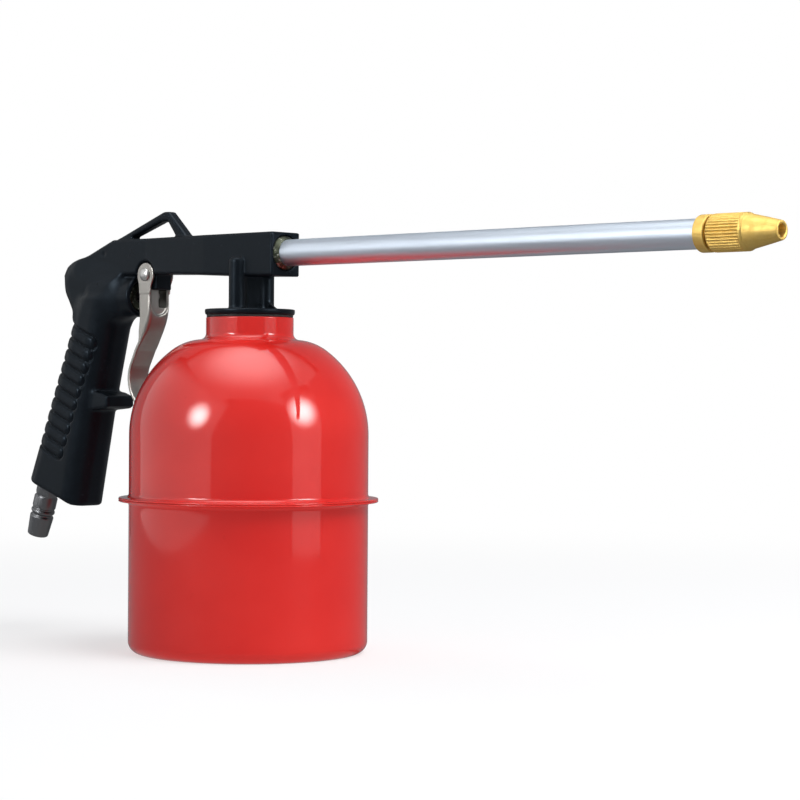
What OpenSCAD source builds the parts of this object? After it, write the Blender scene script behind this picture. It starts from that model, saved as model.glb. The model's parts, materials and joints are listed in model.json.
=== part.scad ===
// Air-powered degreaser spray gun: a two-part steel can with a cast pistol-grip gun screwed into its neck.
// Millimetres. Origin at the centre of the can's base, +X along the barrel, +Y to the left, +Z up.

/* [Can] */
// Outside diameter of the can
can_d = 100; // [98:1:102]
// Thickness of the can's sheet steel
can_wall = 0.8; // [0.6:0.1:1]
// Height of the seam where the two halves meet
seam_z = 63.9; // [60:0.1:68]
// How far the seam's flange stands out from the side
seam_lip = 4.3; // [3:0.1:5]
// Outside radius where the side turns into the base
base_corner_r = 5; // [4:0.5:6]
// Height at which the straight side ends and the shoulder begins
shoulder_z = 90.7; // [88:0.1:92]
// Radius of the shoulder's arc
shoulder_r = 44.6; // [44:0.1:45]
// Radius of the crown's arc, next to the neck
crown_r = 22; // [21:0.5:24]
// Outside diameter of the neck
neck_d = 36.6; // [36:0.1:37]
// Height of the neck's rim above the base
neck_top_z = 140; // [138:0.5:142]

/* [Lid] */
// Diameter of the lid flange
lid_d = 37.8; // [37:0.1:39]
// Thickness of the lid flange
lid_t = 2.4; // [2.2:0.1:3]
// Thickness of the rubber gasket under the flange
gasket_t = 1; // [0.8:0.1:1.2]
// Diameter of the threaded plug below the flange
plug_d = 30.84; // [30:0.02:31]
// How far the plug reaches into the neck
plug_depth = 8; // [6:0.5:9]

/* [Gun body] */
// Height of the barrel's axis above the can's base
barrel_z = 166.3; // [166:0.1:167]
// Front face of the beam
beam_front_x = 21; // [20:0.5:22]
// Width of the beam over the can
beam_w = 16.4; // [16:0.1:17]
// Width of the beam at the trigger
beam_rear_w = 12.4; // [12.2:0.1:12.8]
// Height of the beam's top face
beam_top_z = 174.4; // [174:0.1:175]
// Diameter of the two columns that carry the beam
column_d = 7.1; // [6.5:0.1:7.5]
// Width of the grip
grip_w = 22; // [21:0.5:24]
// Lean of the inlet and the grip's foot from upright, degrees
grip_lean = 19; // [18:0.5:20]
// Number of grooves between the grip's ribs
groove_count = 11; // [9:1:11]
// Distance between grooves along the grip
groove_pitch = 5.85; // [5.8:0.05:6]

/* [Trigger] */
// Pivot's distance behind the can's axis
pivot_back = 59; // [58.8:0.1:59.2]
// Pivot's height above the can's base
pivot_z = 159.3; // [159.1:0.1:159.5]
// Thickness of the trigger's sheet steel
trigger_t = 1.5; // [1.4:0.1:1.5]
// Width of the trigger over its ears
trigger_w = 12; // [11.8:0.1:12.2]
// Radius of the ears about the pivot
ear_r = 5.1; // [4.8:0.1:5.2]

/* [Barrel and nozzle] */
// Outside diameter of the barrel tube
tube_d = 11; // [10.8:0.1:11.2]
// Wall of the barrel tube
tube_wall = 1; // [0.9:0.1:1]
// Front end of the barrel tube
tube_front_x = 229; // [200:1:240]
// Diameter over the nozzle cap's knurl
cap_d = 13.8; // [13:0.1:14.2]
// Length of the nozzle cap
cap_len = 28; // [27:0.5:34]
// Diameter of the spray hole
spray_hole_d = 4.6; // [4.2:0.1:4.8]
// Number of flutes round the knurl
flute_count = 36; // [24:1:40]

/* [Hidden] */
$fn = 96;

red = [0.80, 0.16, 0.14];
black = [0.12, 0.14, 0.17];
steel = [0.62, 0.61, 0.58];
zinc = [0.70, 0.71, 0.72];
brass = [0.85, 0.65, 0.28];
alloy = [0.80, 0.82, 0.86];
rubber = [0.08, 0.08, 0.08];
nylon = [0.90, 0.90, 0.86];

can_r = can_d / 2;
neck_r = neck_d / 2;
flange_width = seam_lip + 2 * can_wall;
shoulder_x = can_r - shoulder_r;
blend_angle = 53;
crown_x = shoulder_x + (shoulder_r - crown_r) * cos(blend_angle);
crown_z = shoulder_z + (shoulder_r - crown_r) * sin(blend_angle);
ring_r = 15.5;
ring_depth = 10.5;
seat_gap = 0.01;

flange_z = neck_top_z + gasket_t;
flange_top_z = flange_z + lid_t;
plug_bottom_z = neck_top_z - plug_depth + gasket_t;
column_x = 0.9;
column_y = 8.3;
column_top_z = 164.7;

tube_r = tube_d / 2;
air_tube_r = 2.5;
air_tube_rear_x = -14;
liquid_chamber_x = -2;
socket_x = 6;
gland_seat_x = 14.7;
gland_r = 7.2;

beam_side = [[beam_front_x, 156.7], [beam_front_x, beam_top_z + 0.5], [-80.5, beam_top_z + 0.6],
             [-109.8, 165.8], [-112, 160], [-90, 152], [-78, 156], [-74, 159.9], [-38, 159], [-5, 157.4]];
beam_plan = [[beam_front_x, -beam_w / 2], [beam_front_x, beam_w / 2], [-20, beam_w / 2],
             [-59, beam_rear_w / 2], [-115, beam_rear_w / 2], [-115, -beam_rear_w / 2],
             [-59, -beam_rear_w / 2], [-20, -beam_w / 2]];
hook_outline = [[-85.7, 174], [-52, 186.4], [-48.4, 186.4], [-35.8, 174]];
hook_hole = [[-72.9, 174.9], [-53.2, 182.1], [-48.6, 182.1], [-43.3, 174.9]];
hump_centre = [-105.3, 156.8];
hump_r = 9;
hump_hollow = [-117.4, 142.4];
hump_block = [[-107, 140], [-105, 165.7], [-102.7, 166], [-77, 157.6],
              [-77, 142.4], [-84, 138], [-100, 138]];
rest_side = [[-93, 109], [-86, 107.8], [-82, 106.6], [-81, 105], [-81.4, 102], [-83, 101], [-94, 100]];

// The grip: its rear line runs from waist to heel, its front line from throat to toe
waist = [-108.4, 135.4];
heel = [-135.9, 69.4];
throat = [-82.4, 133.4];
toe = [-99.6, 60];
rear_lean = atan((waist.x - heel.x) / (waist.y - heel.y));
front_lean = atan((throat.x - toe.x) / (throat.y - toe.y));
grip_round = 10;
toe_r = 3.2;
toe_centre = [-102.6, 60.6];
foot_bend = [-108, 59.8];
first_groove = -4.75;

valve_z = 150;
valve_face_x = -67.5;
valve_boss_r = 8.8;
chamber_r = 5;
chamber_rear_x = -100;
seat_x = -88;
seat_t = 2;
poppet_t = 2.6;
stem_r = 1.5;
button_r = 2.4;

pivot_x = -pivot_back;
pin_r = 1.6;
ear_half = trigger_w / 2;
ear_inner = ear_half - trigger_t;
pocket_r = ear_r + 0.8;
lug_front_x = -53.4;
lug_rear_x = -65;
lug_bottom_z = 152.7;
web_front_x = -55.7;
web_back_x = web_front_x - trigger_t;
web_top_z = 152.2;

inlet_x = -129.7;
inlet_z = 67.5;
inlet_bore_r = 2.5;
washer_r = 5.4;
socket_depth = 10;

collar_x = tube_front_x;
collar_len = 4.6;
cap_gap = 0.8;
collar_front_x = collar_x + collar_len;
cap_x = collar_front_x + cap_gap;
cap_r = cap_d / 2;
spigot_r = 4.6;
tip_x = cap_x + cap_len;
jet_tip_x = tip_x - 7.4;

// Turns a shape drawn along +Z so that it runs along +X from x, on the axis at height z
module along_x(x, z) {
    translate([x, 0, z]) rotate([0, 90, 0]) children();
}

// Cylinder or tube along +X
module rod_x(x0, x1, z, r, bore = 0) {
    along_x(x0, z) difference() {
        cylinder(r = r, h = x1 - x0);
        if (bore > 0) translate([0, 0, -1]) cylinder(r = bore, h = x1 - x0 + 2);
    }
}

// Solid with a side view given in x and z, centred on y = 0
module side_plate(width) {
    translate([0, width / 2, 0]) rotate([90, 0, 0]) linear_extrude(height = width) children();
}

// Frame of the air inlet: +Z points up along its axis, into the grip
module at_inlet() {
    translate([inlet_x, 0, inlet_z]) rotate([0, grip_lean, 0]) children();
}

module rounded_rect(w, h, r) {
    translate([-w / 2 + r, -h / 2]) square([w - 2 * r, h]);
    translate([-w / 2, -h / 2 + r]) square([w, h - 2 * r]);
    for (x = [-1, 1], y = [-1, 1]) translate([x * (w / 2 - r), y * (h / 2 - r)]) circle(r);
}

// Half profile of the can's upper half, moved inward by inset
module upper_profile(inset) {
    blend_z = shoulder_z + (shoulder_r - inset) * sin(blend_angle);
    translate([0, seam_z]) square([can_r - inset, shoulder_z - seam_z]);
    intersection() {
        translate([shoulder_x, shoulder_z]) circle(shoulder_r - inset, $fn = 180);
        translate([0, shoulder_z - 8]) square([can_r, blend_z - shoulder_z + 8]);
    }
    intersection() {
        translate([crown_x, crown_z]) circle(crown_r - inset, $fn = 120);
        translate([0, crown_z]) square([can_r, crown_r]);
    }
    translate([0, crown_z]) square([crown_x, crown_r - inset]);
    translate([0, crown_z]) square([neck_r - inset, neck_top_z - crown_z + (inset > 0 ? 1 : 0)]);
}

// Half profile of the can's lower half, moved inward by inset
module lower_profile(inset) {
    corner = base_corner_r - inset;
    translate([0, base_corner_r]) square([can_r - inset, seam_z - base_corner_r + (inset > 0 ? 1 : 0)]);
    translate([0, inset]) square([can_r - base_corner_r, base_corner_r]);
    translate([can_r - base_corner_r, base_corner_r]) circle(corner);
}

module can_lower_shell() {
    color(red) rotate_extrude($fn = 180) difference() {
        union() {
            lower_profile(0);
            translate([can_r - 2 * can_wall, seam_z - can_wall]) square([flange_width, can_wall]);
        }
        lower_profile(can_wall);
    }
}

module can_upper_shell() {
    color(red) rotate_extrude($fn = 180) difference() {
        union() {
            upper_profile(0);
            translate([can_r - 2 * can_wall, seam_z]) square([flange_width, can_wall]);
        }
        upper_profile(can_wall);
        translate([0, seam_z - 1]) square([can_r - can_wall, 2]);
    }
}

module neck_thread_ring() {
    color(zinc) translate([0, 0, neck_top_z - ring_depth]) difference() {
        cylinder(r = neck_r - can_wall, h = ring_depth);
        translate([0, 0, -1]) cylinder(r = ring_r, h = ring_depth + 2);
    }
}

module neck_gasket() {
    color(rubber) translate([0, 0, neck_top_z + seat_gap]) difference() {
        cylinder(r = neck_r - 0.2, h = gasket_t - seat_gap);
        translate([0, 0, -1]) cylinder(r = ring_r + 0.1, h = gasket_t + 2);
    }
}

// Column with a rounded top edge
module column(height, edge) {
    rotate_extrude() {
        square([column_d / 2, height - edge]);
        square([column_d / 2 - edge, height]);
        translate([column_d / 2 - edge, height - edge]) circle(edge);
    }
}

module lid_and_columns() {
    translate([0, 0, plug_bottom_z]) cylinder(r = plug_d / 2, h = flange_z - plug_bottom_z + 1);
    translate([0, 0, flange_z]) cylinder(r = lid_d / 2, h = lid_t - 0.5);
    translate([0, 0, flange_top_z - 0.5]) cylinder(r1 = lid_d / 2, r2 = lid_d / 2 - 0.5, h = 0.5);
    for (side = [-1, 1]) {
        translate([column_x, side * column_y, flange_top_z - 1]) column(column_top_z - flange_top_z + 1, 1.6);
    }
    translate([column_x - 2, -column_y, flange_top_z - 1]) cube([4, 2 * column_y, 15]);
    translate([column_x, column_y - 1, flange_top_z])
        side_plate(1.6) polygon([[0, -1], [8.5, -1], [2.5, 3.4]]);
}

// Beam with a level top, a bottom that rises to the rear, and sides that draw in towards the trigger
module beam() {
    intersection() {
        side_plate(beam_w + 2) polygon(beam_side);
        translate([0, 0, 145]) linear_extrude(height = 35) polygon(beam_plan);
    }
}

// Hanging loop on top of the beam
module hook_loop() {
    side_plate(5) difference() {
        polygon(hook_outline);
        polygon(hook_hole);
    }
}

// Bar whose rounded back lies on a leaning line through a place; forward is +1 or -1
module rounded_bar(place, lean, forward) {
    depth = 60;
    reach = 90;
    translate([place.x, 0, place.y]) rotate([0, lean, 0]) translate([forward * depth / 2, 0, -reach])
        linear_extrude(height = 2 * reach) rounded_rect(depth, grip_w, grip_round);
}

module lower_grip() {
    intersection() {
        side_plate(grip_w) polygon(concat(
            [[-106.5, 146], [-106.8, 141], waist, heel, foot_bend],
            arc_points(toe_centre.x, toe_centre.y, toe_r, -105, -12, 6),
            [throat, [-78.5, 141.5], [-74, 143.5], [-74, 150], [-106.5, 150]]));
        rounded_bar(waist, rear_lean, 1);
        rounded_bar(throat, front_lean, -1);
    }
}

// Rounded rear of the body, behind the valve
module rear_hump() {
    intersection() {
        side_plate(grip_w - 1) difference() {
            union() {
                translate(hump_centre) circle(hump_r);
                polygon(hump_block);
            }
            translate(hump_hollow) circle(9.4);
        }
        rounded_bar(hump_centre - [hump_r, 0], 0, 1);
    }
}

module finger_rest() {
    side_plate(16.4) polygon(rest_side);
}

// Grooves that leave the ribs standing, along the rear of the grip and round onto its sides
module rib_grooves() {
    groove_len = 22;
    for (i = [0 : groove_count - 1]) {
        spot = waist + [-sin(rear_lean), -cos(rear_lean)] * (first_groove + i * groove_pitch);
        translate([spot.x, 0, spot.y]) rotate([0, rear_lean, 0]) {
            translate([-0.9, -grip_w, 0]) rotate([-90, 0, 0]) cylinder(r = 1.5, h = 2 * grip_w, $fn = 24);
            for (side = [-1, 1]) {
                translate([0, side * grip_w / 2, 0]) rotate([0, 90, 0])
                    cylinder(r = 0.75, h = groove_len, $fn = 24);
            }
        }
    }
}

// Passage that leads from the inlet's socket up to the rear of the valve chamber
module grip_passage() {
    low = [inlet_x + (socket_depth - 1) * sin(grip_lean), inlet_z + (socket_depth - 1) * cos(grip_lean)];
    high = [chamber_rear_x + 3.5, valve_z];
    angle = atan((high.x - low.x) / (high.y - low.y));
    translate([low.x, 0, low.y]) rotate([0, angle, 0]) cylinder(r = 2.2, h = norm(high - low));
}

module body_bores() {
    rod_x(valve_face_x - 4.5, valve_face_x + 1, valve_z, 6.7);
    rod_x(chamber_rear_x, valve_face_x - 4, valve_z, chamber_r);
    translate([seat_x + seat_t + 4, 0, valve_z]) cylinder(r = 1.8, h = barrel_z - valve_z);
    rod_x(-84, liquid_chamber_x + 1, barrel_z, air_tube_r);
    rod_x(liquid_chamber_x, socket_x + 1, barrel_z, 4.4);
    rod_x(socket_x, gland_seat_x + 1, barrel_z, tube_r);
    rod_x(gland_seat_x, beam_front_x + 1, barrel_z, gland_r);
    translate([column_x, column_y, plug_bottom_z - 1]) cylinder(r = 1.6, h = 162.5 - plug_bottom_z + 1);
    translate([column_x, column_y, plug_bottom_z - 1]) cylinder(r = 3, h = 6);
    translate([column_x, 0, 162.5]) rotate([-90, 0, 0]) cylinder(r = 1.6, h = column_y);
    translate([-9.5, 0, plug_bottom_z - 1]) cylinder(r = 0.8, h = flange_top_z - plug_bottom_z + 2);
    at_inlet() translate([0, 0, -3]) cylinder(r = 4.6, h = socket_depth + 3);
    at_inlet() translate([0, 0, -6]) cylinder(r = washer_r + 0.2, h = 6);
    grip_passage();
    translate([pivot_x, -20, pivot_z]) rotate([-90, 0, 0]) cylinder(r = pin_r, h = 40);
    for (side = [-1, 1]) {
        translate([pivot_x, side * (10 + ear_inner - 0.1), pivot_z]) rotate([90, 0, 0])
            cylinder(r = pocket_r, h = 20, center = true);
    }
}

module gun_body() {
    color(black) difference() {
        union() {
            lid_and_columns();
            beam();
            hook_loop();
            difference() {
                lower_grip();
                rib_grooves();
            }
            rear_hump();
            finger_rest();
            rod_x(-90, valve_face_x, valve_z, valve_boss_r);
            translate([lug_rear_x, -ear_inner + 0.1, lug_bottom_z])
                cube([lug_front_x - lug_rear_x, 2 * ear_inner - 0.2, 8]);
        }
        body_bores();
    }
}

module dip_tube() {
    top_z = plug_bottom_z + 5;
    color(nylon) translate([column_x, column_y, 6]) difference() {
        cylinder(r = 3, h = top_z - 6);
        translate([0, 0, -1]) cylinder(r = 2.2, h = top_z);
    }
}

// Slotted foot that keeps dirt out of the dip tube
module dip_tube_filter() {
    color(brass) translate([column_x, column_y, 4]) difference() {
        cylinder(r = 4, h = 12);
        translate([0, 0, 2]) cylinder(r = 3, h = 12);
        for (a = [0, 60, 120]) rotate([0, 0, a]) translate([-5, -0.6, 0.8]) cube([10, 1.2, 5]);
    }
}

// Hose nipple: threaded shank, hexagon, collar, groove and a tapered nose
module inlet_nipple() {
    shank = socket_depth - 1;
    color(steel) at_inlet() difference() {
        union() {
            cylinder(r = 4.6, h = shank);
            translate([0, 0, -7]) cylinder(r = 5.4, h = 5.6, $fn = 6);
            translate([0, 0, -1.4]) cylinder(r = 4.6, h = 1.5);
            translate([0, 0, -13.2]) cylinder(r = 5.3, h = 7.4);
            translate([0, 0, -14.8]) cylinder(r = 4.5, h = 2);
            translate([0, 0, -16.4]) cylinder(r = 5.4, h = 1.8);
            translate([0, 0, -25.4]) cylinder(r1 = 4.75, r2 = 5.35, h = 9.2);
            translate([0, 0, -26.2]) cylinder(r1 = 4, r2 = 4.75, h = 0.8);
        }
        translate([0, 0, -27]) cylinder(r = inlet_bore_r, h = 27 + shank + 1);
    }
}

module inlet_seal_washer() {
    color("peru") at_inlet() translate([0, 0, -1.2]) difference() {
        cylinder(r = washer_r, h = 1.2);
        translate([0, 0, -1]) cylinder(r = 4.6, h = 4);
    }
}

module valve_gland_nut() {
    head_x = valve_face_x - 4.5;
    color(brass) difference() {
        union() {
            rod_x(head_x - 6, head_x + 1, valve_z, chamber_r);
            along_x(head_x, valve_z) cylinder(r = 6.5, h = 3.6, $fn = 6);
        }
        rod_x(head_x - 7, head_x + 5, valve_z, stem_r + 0.09);
        rod_x(head_x + 1.6, head_x + 5, valve_z, 2.95);
    }
}

module ring_x(x, z, middle_r, section_r) {
    along_x(x, z) rotate_extrude($fn = 60) translate([middle_r, 0]) circle(section_r, $fn = 24);
}

module valve_stem_oring() {
    color(rubber) ring_x(valve_face_x - 2.2, valve_z, 2.25, 0.65);
}

module valve_seat() {
    color(brass) rod_x(seat_x, seat_x + seat_t, valve_z, chamber_r, 2.3);
}

module valve_stem() {
    button_x = web_back_x - 0.1;
    color(zinc) {
        rod_x(seat_x - poppet_t - 0.8, button_x - button_r, valve_z, stem_r);
        rod_x(button_x - button_r - 1, button_x - button_r, valve_z, button_r);
        intersection() {
            translate([button_x - button_r, 0, valve_z]) sphere(r = button_r);
            rod_x(button_x - button_r - 0.5, button_x, valve_z, button_r + 1);
        }
    }
}

module valve_poppet_seal() {
    color(rubber) rod_x(seat_x - poppet_t, seat_x, valve_z, 3.8, stem_r);
}

// Coil spring, drawn as its turns side by side
module valve_spring() {
    turns = 5;
    wire_r = 0.4;
    front_x = seat_x - poppet_t - 1.3;
    step = (front_x - chamber_rear_x - wire_r) / (turns - 1);
    color(steel) for (i = [0 : turns - 1]) {
        ring_x(chamber_rear_x + wire_r + i * step, valve_z, 2.8, wire_r);
    }
}

// Points on an arc about (cx, cz), from angle a0 to a1 in n steps
function arc_points(cx, cz, r, a0, a1, n) =
    [for (i = [0 : n]) let (a = a0 + (a1 - a0) * i / n) [cx + r * cos(a), cz + r * sin(a)]];

// Middle line of the lever's strap, from the top of its web to its curled tip
strap_line = concat(
    [[web_front_x - trigger_t / 2, web_top_z]],
    arc_points(web_front_x - trigger_t / 2 - 22, 146.5, 22, 0, -30.5, 6),
    [[-65.3, 126.6]],
    arc_points(-55.8, 114.2, 14.2, 149, 213, 8),
    [[-65.9, 104.1]]);

function strap_normal(i) =
    let (before = strap_line[max(i - 1, 0)],
         after = strap_line[min(i + 1, len(strap_line) - 1)],
         along = (after - before) / norm(after - before))
    [-along.y, along.x];

// Side view of the bent strap, from its middle line and its thickness
module strap_section() {
    n = len(strap_line);
    front = [for (i = [0 : n - 1]) strap_line[i] + strap_normal(i) * trigger_t / 2];
    back = [for (i = [n - 1 : -1 : 0]) strap_line[i] - strap_normal(i) * trigger_t / 2];
    polygon(concat(front, back));
}

// Side view of an ear: round about the pivot, then down beside the web to a taper
module ear_section() {
    translate([pivot_x, pivot_z]) circle(ear_r);
    polygon([[pivot_x - ear_r, pivot_z], [web_front_x, pivot_z], [web_front_x, 146.5], [-56.9, 140.4],
             [-59.7, 134.2], [-62.2, 130.6], [-63.6, 131.2], [-64.1, 134], [pivot_x - ear_r, 140]]);
}

module trigger_lever() {
    color(steel) difference() {
        union() {
            side_plate(trigger_w) strap_section();
            for (side = [-1, 1]) {
                translate([0, side * (ear_half - trigger_t / 2), 0]) side_plate(trigger_t) ear_section();
            }
        }
        translate([pivot_x, -20, pivot_z]) rotate([-90, 0, 0]) cylinder(r = pin_r + 0.08, h = 40);
        rod_x(-62, -50, 145.3, 2);
        translate([-62, -2, 145.3]) cube([12, 4, 2]);
    }
}

// Rivet through the beam's lug and both ears, with a domed head on the right side
module trigger_pivot_pin() {
    head_y = ear_half + 0.05;
    color(zinc) translate([pivot_x, 0, pivot_z]) rotate([90, 0, 0]) {
        translate([0, 0, -head_y - 1.6]) cylinder(r = pin_r, h = 2 * head_y + 1.6);
        intersection() {
            translate([0, 0, head_y - 1.6]) sphere(r = 3.2);
            translate([0, 0, head_y]) cylinder(r = 5, h = 5);
        }
    }
}

module pivot_washer() {
    color(zinc) translate([pivot_x, ear_half + 0.05, pivot_z]) rotate([-90, 0, 0]) difference() {
        cylinder(r = 3.2, h = 1);
        translate([0, 0, -1]) cylinder(r = pin_r, h = 3);
    }
}

module barrel_tube() {
    color(alloy) rod_x(socket_x, tube_front_x, barrel_z, tube_r, tube_r - tube_wall);
}

module barrel_gland_nut() {
    color(brass) difference() {
        union() {
            rod_x(16, beam_front_x - 0.4, barrel_z, gland_r - 0.1);
            along_x(beam_front_x - 0.4, barrel_z) cylinder(r1 = gland_r - 0.1, r2 = tube_r + 0.3, h = 2);
        }
        rod_x(15, beam_front_x + 3, barrel_z, tube_r);
    }
}

module barrel_seal() {
    color(rubber) rod_x(gland_seat_x, 16, barrel_z, gland_r - 0.1, tube_r);
}

module inner_air_tube() {
    color(alloy) rod_x(air_tube_rear_x, collar_front_x + 14, barrel_z, air_tube_r, 1.6);
}

// Brass end piece: plugs the tube, carries the cap's thread and lets liquid pass round the air tube
module nozzle_adaptor() {
    color(brass) difference() {
        union() {
            rod_x(collar_x - 12, collar_x + 1, barrel_z, tube_r - tube_wall);
            rod_x(collar_x, collar_front_x - 0.5, barrel_z, cap_r - 0.1);
            along_x(collar_front_x - 0.5, barrel_z) cylinder(r1 = cap_r - 0.1, r2 = cap_r - 0.6, h = 0.5);
            rod_x(collar_front_x - 1, collar_front_x + 13, barrel_z, spigot_r);
        }
        rod_x(collar_x - 13, collar_front_x + 14, barrel_z, air_tube_r);
        for (a = [0 : 90 : 270]) {
            along_x(collar_x - 13, barrel_z) rotate([0, 0, a + 45])
                translate([3.5, 0, 0]) cylinder(r = 0.6, h = 33);
        }
    }
}

module air_jet() {
    base_x = collar_front_x + 14;
    color(brass) difference() {
        union() {
            rod_x(base_x, base_x + 1.5, barrel_z, air_tube_r);
            along_x(base_x + 1.5, barrel_z) cylinder(r1 = air_tube_r, r2 = 1.3, h = 4);
            rod_x(base_x + 5, jet_tip_x, barrel_z, 1.3);
        }
        rod_x(base_x - 1, jet_tip_x + 1, barrel_z, 0.6);
    }
}

module nozzle_oring() {
    color(rubber) ring_x(cap_x + 2.2, barrel_z, 5.15, 0.42);
}

// Cap: fluted barrel, bright shoulder and a long cone down to the spray hole
module nozzle_cap() {
    knurl_len = 14;
    shoulder_len = 1.6;
    cone_x = cap_x + knurl_len + shoulder_len;
    color(brass) difference() {
        union() {
            along_x(cap_x, barrel_z) cylinder(r1 = cap_r - 0.5, r2 = cap_r, h = 0.5);
            rod_x(cap_x + 0.5, cap_x + knurl_len, barrel_z, cap_r);
            along_x(cap_x + knurl_len, barrel_z) cylinder(r1 = cap_r, r2 = cap_r - 0.6, h = shoulder_len);
            along_x(cone_x, barrel_z) cylinder(r1 = cap_r - 0.6, r2 = 3.6, h = tip_x - cone_x - 0.4);
            along_x(tip_x - 0.4, barrel_z) cylinder(r1 = 3.6, r2 = 3.3, h = 0.4);
        }
        rod_x(cap_x - 1, cap_x + 15.4, barrel_z, spigot_r + 0.09);
        rod_x(cap_x + 1.5, cap_x + 2.9, barrel_z, 5.65);
        along_x(cap_x + 15.3, barrel_z) cylinder(r1 = 4, r2 = spray_hole_d / 2, h = 7.4);
        rod_x(cap_x + 15, tip_x + 1, barrel_z, spray_hole_d / 2);
        for (i = [0 : flute_count - 1]) {
            along_x(cap_x - 1, barrel_z) rotate([0, 0, i * 360 / flute_count])
                translate([cap_r + 0.18, 0, 0]) cylinder(r = 0.42, h = knurl_len, $fn = 16);
        }
    }
}

can_lower_shell();
can_upper_shell();
neck_thread_ring();
neck_gasket();
gun_body();
dip_tube();
dip_tube_filter();
inlet_nipple();
inlet_seal_washer();
valve_gland_nut();
valve_stem_oring();
valve_seat();
valve_stem();
valve_poppet_seal();
valve_spring();
trigger_lever();
trigger_pivot_pin();
pivot_washer();
barrel_tube();
barrel_gland_nut();
barrel_seal();
inner_air_tube();
nozzle_adaptor();
air_jet();
nozzle_oring();
nozzle_cap();
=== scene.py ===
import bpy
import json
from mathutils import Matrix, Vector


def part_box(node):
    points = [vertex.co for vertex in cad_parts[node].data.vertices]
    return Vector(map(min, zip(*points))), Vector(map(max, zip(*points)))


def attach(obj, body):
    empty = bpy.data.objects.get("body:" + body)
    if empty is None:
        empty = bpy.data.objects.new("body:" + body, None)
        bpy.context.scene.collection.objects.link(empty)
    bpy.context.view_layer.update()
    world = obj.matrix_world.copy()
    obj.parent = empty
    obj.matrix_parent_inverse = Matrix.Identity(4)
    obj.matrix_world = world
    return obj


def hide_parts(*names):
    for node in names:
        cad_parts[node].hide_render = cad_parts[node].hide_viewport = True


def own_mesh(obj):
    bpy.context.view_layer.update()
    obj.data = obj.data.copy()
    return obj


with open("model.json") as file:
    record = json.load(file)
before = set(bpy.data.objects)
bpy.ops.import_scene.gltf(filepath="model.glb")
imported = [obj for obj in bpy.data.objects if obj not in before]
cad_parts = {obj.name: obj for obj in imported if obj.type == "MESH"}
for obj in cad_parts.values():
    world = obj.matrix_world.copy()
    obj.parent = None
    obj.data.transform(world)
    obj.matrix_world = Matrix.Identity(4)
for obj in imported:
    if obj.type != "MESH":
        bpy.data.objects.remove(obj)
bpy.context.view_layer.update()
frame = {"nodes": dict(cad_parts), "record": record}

# An air-powered degreaser spray gun on its steel can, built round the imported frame. Shapes are worked out in
# millimetres, with +X along the barrel and +Z up, and turned into metres as each mesh is made.
import itertools
import json
import math

import bpy
import numpy as np
from mathutils import Matrix, Vector

MM = 0.001
FORWARD, SIDEWAYS, UP = (1, 0, 0), (0, 1, 0), (0, 0, 1)
BASE = (0, 0, 0)
AXIS_GAP = 0.02


def corners(node):
    """Lowest and highest corner of a CAD node at rest, in millimetres."""
    low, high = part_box(node)
    return np.array(low) / MM, np.array(high) / MM


# ---------------------------------------------------------------- sizes and places
UPPER_LOW, UPPER_HIGH = corners("can_upper_shell")
GASKET_LOW, GASKET_HIGH = corners("neck_gasket")
RING_LOW, RING_HIGH = corners("neck_thread_ring")
GUN_LOW, GUN_HIGH = corners("gun_body")
TUBE_LOW, TUBE_HIGH = corners("barrel_tube")
CAP_LOW, CAP_HIGH = corners("nozzle_cap")
ADAPTOR_LOW, ADAPTOR_HIGH = corners("nozzle_adaptor")
GLAND_LOW, GLAND_HIGH = corners("barrel_gland_nut")
TRIGGER_LOW, TRIGGER_HIGH = corners("trigger_lever")
PIN_LOW, PIN_HIGH = corners("trigger_pivot_pin")
WASHER_LOW = corners("pivot_washer")[0]
VALVE_NUT_LOW, VALVE_NUT_HIGH = corners("valve_gland_nut")
STEM_LOW, STEM_HIGH = corners("valve_stem")
DIP_LOW, DIP_HIGH = corners("dip_tube")
FILTER_LOW, FILTER_HIGH = corners("dip_tube_filter")

SHEET = 0.8
SEAM_Z = UPPER_LOW[2]
SEAM_R = UPPER_HIGH[0] - 0.02
NECK_TOP = UPPER_HIGH[2]
CAN_R = SEAM_R - 4.28
NECK_R = 18.3
BASE_CORNER_R = 5.0
SHOULDER_Z = 90.7
SHOULDER_R = 44.6
CROWN_R = 22.0
CROWN_START = math.radians(53)
NECK_FILLET = 2.6

BARREL_Z = (TUBE_LOW[2] + TUBE_HIGH[2]) / 2
TUBE_R = (TUBE_HIGH[2] - TUBE_LOW[2]) / 2
LID_Z = GASKET_HIGH[2]
LID_TOP = LID_Z + 2.4
LID_R = 18.88
VALVE_Z = (STEM_LOW[2] + STEM_HIGH[2]) / 2
PIVOT = np.array([(PIN_LOW[0] + PIN_HIGH[0]) / 2, (PIN_LOW[2] + PIN_HIGH[2]) / 2])
PIN_R = 1.6
EAR_R = 5.1
LEAN = math.radians(19)
INLET = np.array([-129.7, 67.5])


# ---------------------------------------------------------------- meshes
def make_object(name, points, faces, body, slot, nodes=(), flatness=None):
    """A smooth-shaded mesh from points in millimetres, riding on a body and standing for CAD nodes. Its large
    faces keep their flat shading if a flatness is given."""
    mesh = bpy.data.meshes.new(name)
    mesh.from_pydata((np.asarray(points, float) * MM).tolist(), [], [list(map(int, f)) for f in faces])
    mesh.polygons.foreach_set("use_smooth", np.ones(len(mesh.polygons), bool))
    mesh.update()
    made = bpy.data.objects.new(name, mesh)
    bpy.context.scene.collection.objects.link(made)
    if flatness is not None:
        weighted = made.modifiers.new("Flat faces stay flat", "WEIGHTED_NORMAL")
        weighted.keep_sharp = True
        weighted.weight = flatness
    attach(made, body)
    if nodes:
        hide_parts(*nodes)
    made.data.materials.append(MATERIALS[slot])
    return made


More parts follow.
